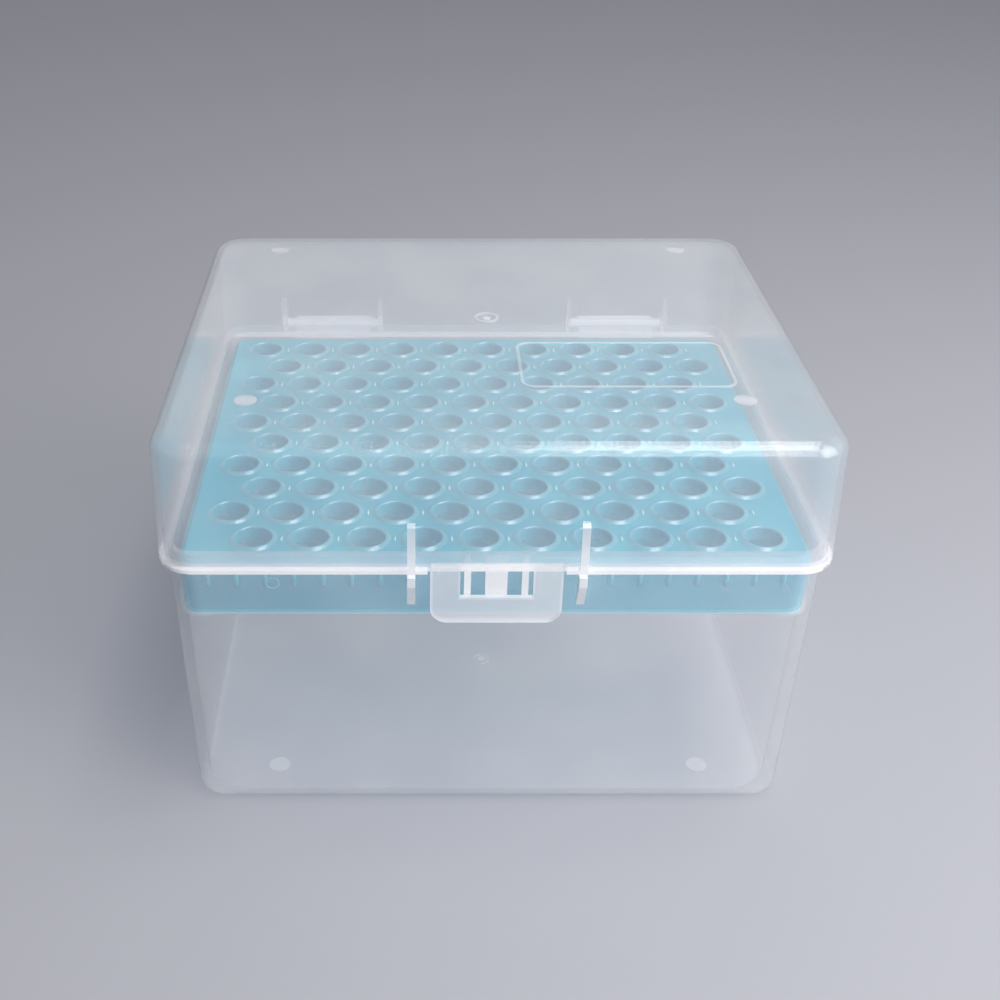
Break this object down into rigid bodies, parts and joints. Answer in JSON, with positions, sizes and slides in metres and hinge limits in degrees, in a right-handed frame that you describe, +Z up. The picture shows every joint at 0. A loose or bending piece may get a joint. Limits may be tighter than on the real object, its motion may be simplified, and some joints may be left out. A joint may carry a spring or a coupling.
{
  "type": "box of pipette tips",
  "caption": "Hinged translucent box for pipette tips, closed: deep tapered base, shallow lid with a front latch tab, and a rack plate of staggered holes inside.",
  "frame": {"origin": "centre of the base's flat underside", "axes": "+Z up through the lid, +X to the right when the latch faces the viewer, -Y to the front with the latch, +Y to the hinge"},
  "size_m": [0.1594, 0.1441, 0.1073],
  "materials": {
    "natural_polypropylene": "satin",
    "cyan_polypropylene": "satin"
  },
  "bodies": {
    "box": {"base": "natural_polypropylene", "rack": "cyan_polypropylene"},
    "lid": {"lid": "natural_polypropylene"}
  },
  "joints": [
    {"name": "lid_hinge", "type": "hinge", "parent": "box", "child": "lid", "pos_m": [0, 0.07143, 0.0759], "axis": [-1, 0, 0], "range_deg": [0, 105]}
  ]
}
